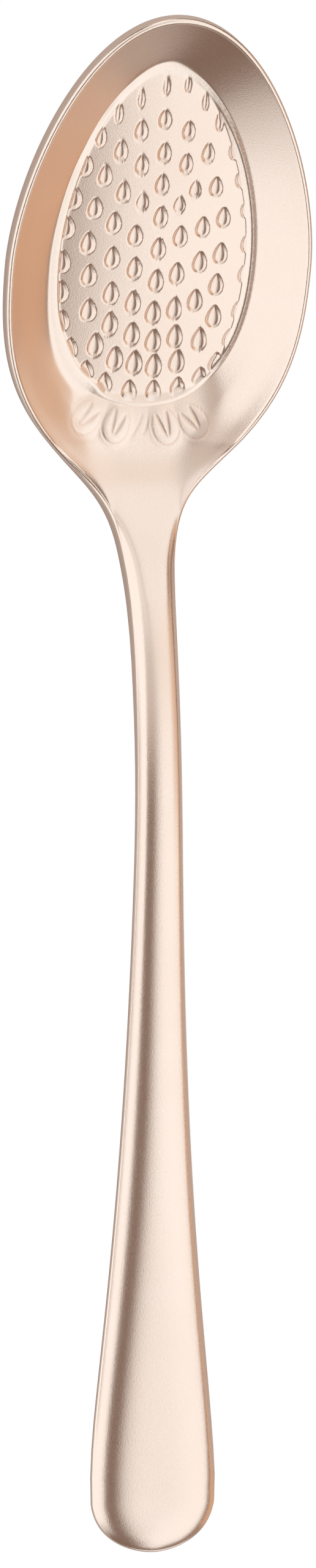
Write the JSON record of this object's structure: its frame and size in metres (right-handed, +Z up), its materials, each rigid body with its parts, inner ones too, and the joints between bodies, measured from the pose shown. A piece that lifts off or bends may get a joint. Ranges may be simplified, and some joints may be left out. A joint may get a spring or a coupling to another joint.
{
  "type": "strawberry spoon",
  "caption": "One-piece satin rose-gold spoon for crushing berries, with a shallow bowl, a flat strawberry-shaped panel of pressed seed pits, leaf relief and a flared handle",
  "frame": {"origin": "middle of the spoon's footprint, on the surface that it lies on", "axes": "+Y along the spoon from the handle to the tip of the bowl, +X across it to the right as seen from above, +Z up out of the bowl"},
  "size_m": [0.0316, 0.1526, 0.0165],
  "materials": {
    "rose_gold": "satin rose-gold coated stainless steel, fine matte grain"
  },
  "bodies": {
    "root": {"spoon": "rose_gold"}
  },
  "joints": []
}
